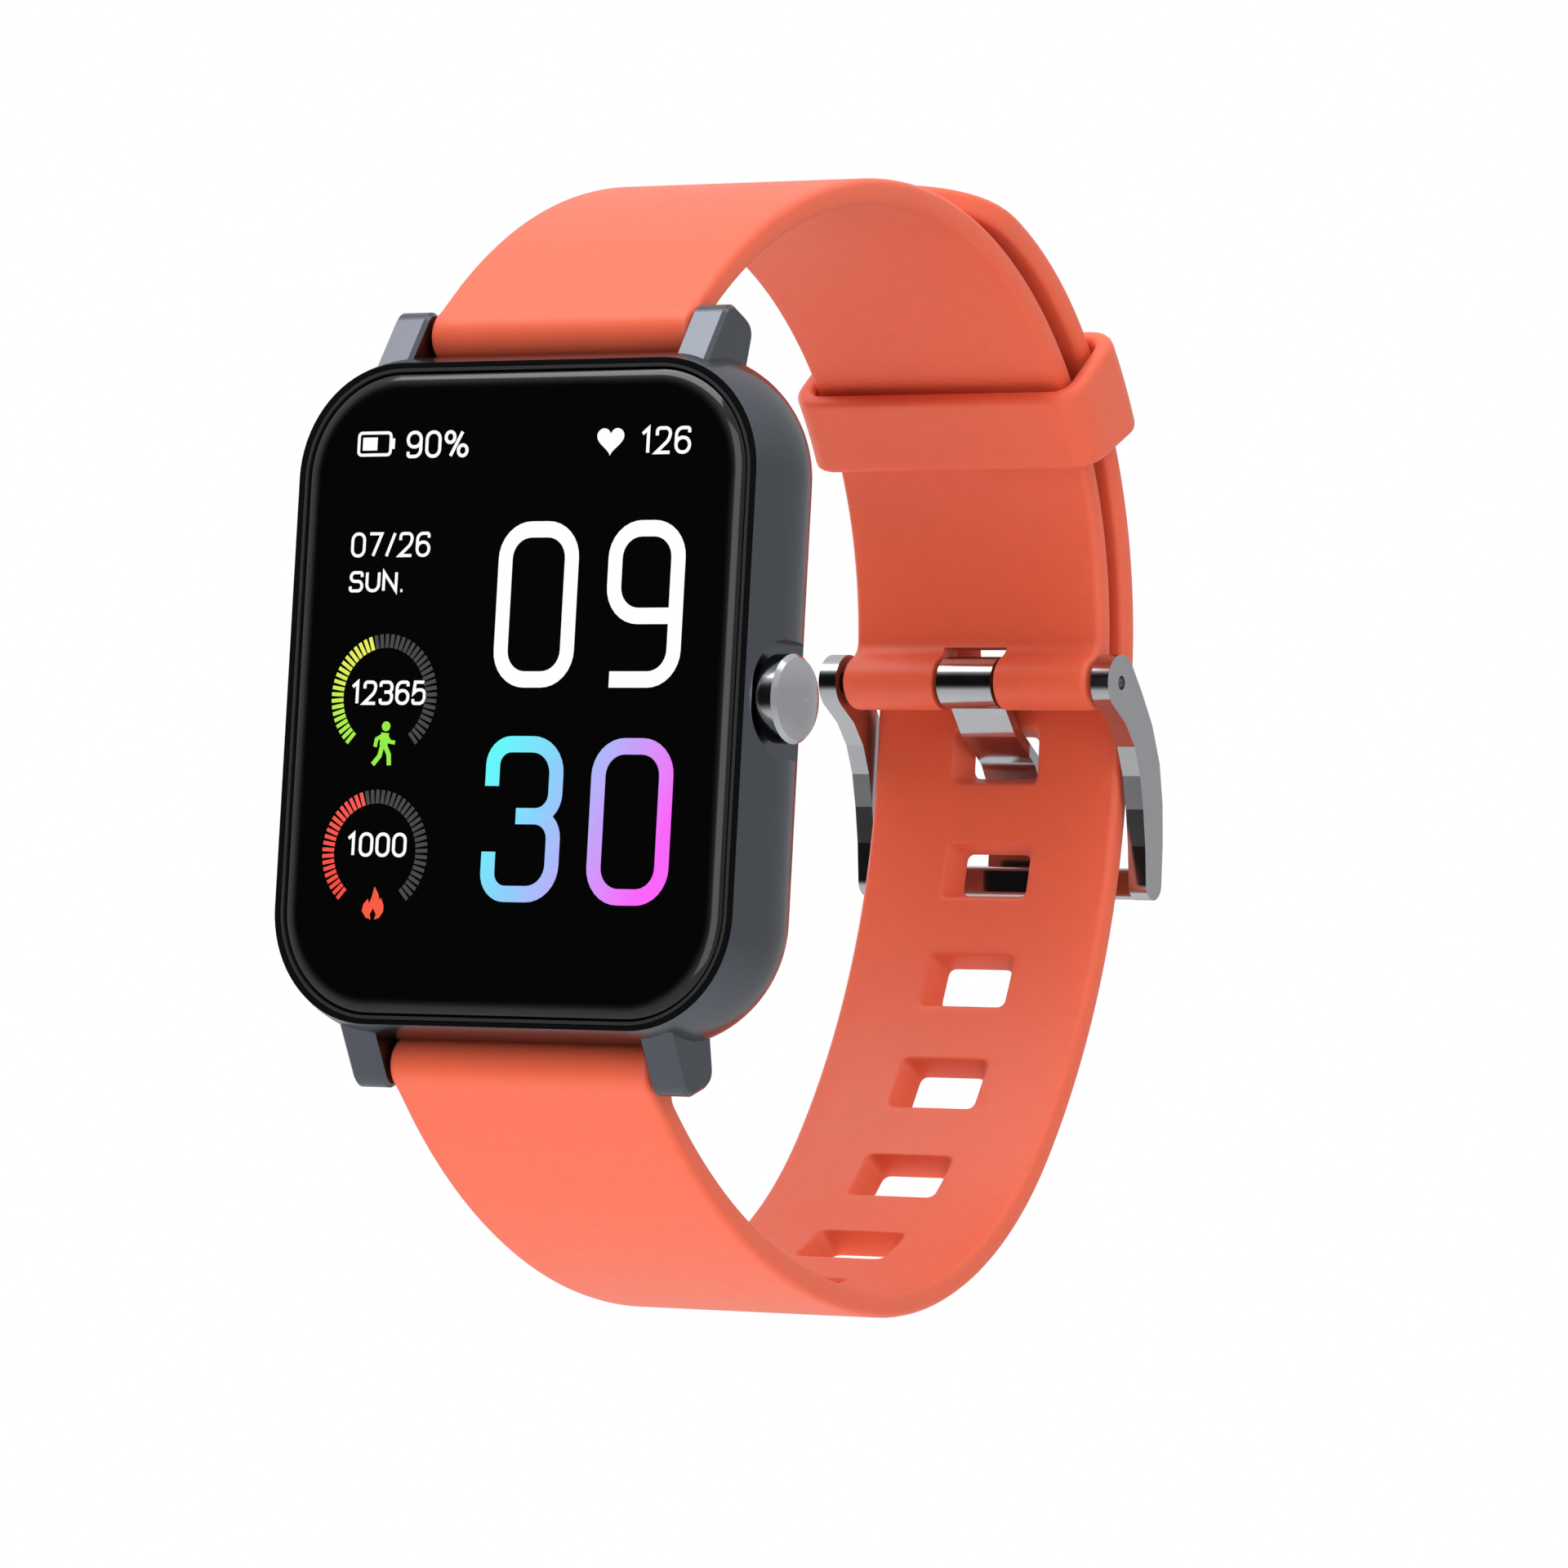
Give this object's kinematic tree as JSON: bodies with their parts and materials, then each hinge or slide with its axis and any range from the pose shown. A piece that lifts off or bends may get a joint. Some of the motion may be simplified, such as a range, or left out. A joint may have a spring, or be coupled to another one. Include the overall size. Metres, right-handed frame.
{
  "type": "sport smartwatch",
  "caption": "Square-faced sport watch with a domed side crown, rear pulse sensor and a closed silicone strap with pin buckle and keeper.",
  "frame": {"origin": "centre of the sensor window on the case back, on the face that lies on the wrist", "axes": "+Z towards 12 o'clock, -Y out of the display, +X towards the crown"},
  "size_m": [0.0384, 0.0684, 0.0779],
  "materials": {
    "case_metal": "satin blue-grey coating",
    "cover_glass": "clear, edge-blackened",
    "black_seal": "matte",
    "display": "lit panel",
    "backlight_film": "satin white",
    "flex_film": "satin",
    "frame_plastic": "fine grain",
    "board": "solder mask",
    "chip_resin": "matte",
    "shield_steel": "brushed",
    "screw_steel": "machined",
    "copper_film": "satin",
    "battery_foil": "foil",
    "motor_steel": "satin",
    "polished_chrome": "polished",
    "spring_steel": "drawn wire",
    "back_plastic": "satin",
    "sensor_glass": "dark clear",
    "contact_gold": "plated",
    "magnet_nickel": "plated",
    "green_led": "clear",
    "silicone": "soft satin silicone"
  },
  "bodies": {
    "case": {"case_body": "case_metal", "cover_glass": "cover_glass", "glass_gasket": "black_seal", "touch_sensor": "display", "display_panel": "display", "backlight": "backlight_film", "display_flex": "flex_film", "inner_frame": "frame_plastic", "main_board": "board", "main_processor": "chip_resin", "gps_receiver": "chip_resin", "board_chips": "chip_resin", "board_connectors": "chip_resin", "board_shield": "shield_steel", "board_screws": "screw_steel", "gps_antenna": "copper_film", "battery": "battery_foil", "battery_tab": "flex_film", "motor_can": "motor_steel", "crown_washer": "screw_steel", "crown_spring": "spring_steel", "crown_switch": "chip_resin", "switch_board": "board", "back_cover": "back_plastic", "back_gasket": "black_seal", "back_screws": "screw_steel", "sensor_window": "sensor_glass", "sensor_board": "board", "sensor_leds": "green_led", "photodiode": "chip_resin", "sensor_flex": "flex_film", "charge_contacts": "contact_gold", "charge_magnets": "magnet_nickel"},
    "crown_slider": {"crown_clip": "screw_steel"},
    "crown": {"crown_head": "polished_chrome", "crown_seal": "black_seal"},
    "switch_plunger": {"switch_plunger": "frame_plastic"},
    "motor_rotor": {"motor_rotor": "motor_steel"},
    "upper_strap": {"upper_strap": "silicone", "upper_bar_tube": "screw_steel", "upper_bar_spring": "spring_steel", "buckle_bar_tube": "screw_steel", "buckle_bar_spring": "spring_steel"},
    "upper_tip_left": {"upper_bar_tip_left": "screw_steel", "upper_bar_lever": "screw_steel"},
    "upper_tip_right": {"upper_bar_tip_right": "screw_steel"},
    "lower_strap": {"lower_strap": "silicone", "lower_bar_tube": "screw_steel", "lower_bar_spring": "spring_steel"},
    "lower_tip_left": {"lower_bar_tip_left": "screw_steel", "lower_bar_lever": "screw_steel"},
    "lower_tip_right": {"lower_bar_tip_right": "screw_steel"},
    "keeper": {"keeper": "silicone"},
    "buckle": {"buckle_frame": "polished_chrome"},
    "tang": {"buckle_tang": "polished_chrome"},
    "buckle_tip_left": {"buckle_bar_tip_left": "screw_steel"},
    "buckle_tip_right": {"buckle_bar_tip_right": "screw_steel"}
  },
  "joints": [
    {"name": "crown_press", "type": "slide", "parent": "case", "child": "crown_slider", "axis": [-1, 0, 0], "range_m": [0, 0.00035], "stiffness_N_per_m": 400, "springref_m": -0.002, "deforming": ["crown_spring"]},
    {"name": "crown_turn", "type": "hinge", "parent": "crown_slider", "child": "crown", "pos_m": [0.0185, -0.0067, 0], "axis": [1, 0, 0], "continuous": true},
    {"name": "switch_click", "type": "slide", "parent": "case", "child": "switch_plunger", "axis": [-1, 0, 0], "range_m": [0, 0.00035]},
    {"name": "motor_spin", "type": "hinge", "parent": "case", "child": "motor_rotor", "pos_m": [0.0101, -0.00575, -0.0108], "axis": [0, 1, 0], "continuous": true},
    {"name": "upper_strap_pivot", "type": "hinge", "parent": "case", "child": "upper_strap", "pos_m": [0, -0.0056, 0.024], "axis": [1, 0, 0], "range_deg": [-0.5, 0.5]},
    {"name": "lower_strap_pivot", "type": "hinge", "parent": "case", "child": "lower_strap", "pos_m": [0, -0.0056, -0.024], "axis": [1, 0, 0], "range_deg": [-0.5, 0.5]},
    {"name": "buckle_swing", "type": "hinge", "parent": "upper_strap", "child": "buckle", "pos_m": [0, 0.0498, 0.0068], "axis": [1, 0, 0], "range_deg": [-2, 0]},
    {"name": "tang_lift", "type": "hinge", "parent": "upper_strap", "child": "tang", "pos_m": [0, 0.0498, 0.0068], "axis": [1, 0, 0], "range_deg": [0, 2.5]},
    {"name": "keeper_slide", "type": "hinge", "parent": "upper_strap", "child": "keeper", "pos_m": [0, 0.0213, 0.0076], "axis": [1, 0, 0], "range_deg": [-12, 9]},
    {"name": "upper_left_release", "type": "slide", "parent": "upper_strap", "child": "upper_tip_left", "axis": [1, 0, 0], "range_m": [0, 0.0011], "stiffness_N_per_m": 150, "springref_m": -0.002, "deforming": ["upper_bar_spring"]},
    {"name": "upper_right_release", "type": "slide", "parent": "upper_strap", "child": "upper_tip_right", "axis": [-1, 0, 0], "range_m": [0, 0.0011], "stiffness_N_per_m": 150, "springref_m": -0.002},
    {"name": "lower_left_release", "type": "slide", "parent": "lower_strap", "child": "lower_tip_left", "axis": [1, 0, 0], "range_m": [0, 0.0011], "stiffness_N_per_m": 150, "springref_m": -0.002, "deforming": ["lower_bar_spring"]},
    {"name": "lower_right_release", "type": "slide", "parent": "lower_strap", "child": "lower_tip_right", "axis": [-1, 0, 0], "range_m": [0, 0.0011], "stiffness_N_per_m": 150, "springref_m": -0.002},
    {"name": "buckle_left_release", "type": "slide", "parent": "upper_strap", "child": "buckle_tip_left", "axis": [1, 0, 0], "range_m": [0, 0.0011], "stiffness_N_per_m": 150, "springref_m": -0.002, "deforming": ["buckle_bar_spring"]},
    {"name": "buckle_right_release", "type": "slide", "parent": "upper_strap", "child": "buckle_tip_right", "axis": [-1, 0, 0], "range_m": [0, 0.0011], "stiffness_N_per_m": 150, "springref_m": -0.002}
  ],
  "couplings": [
    {"joint": "switch_click", "follows": "crown_press", "ratio": 1},
    {"joint": "lower_strap_pivot", "follows": "upper_strap_pivot", "ratio": 1}
  ]
}
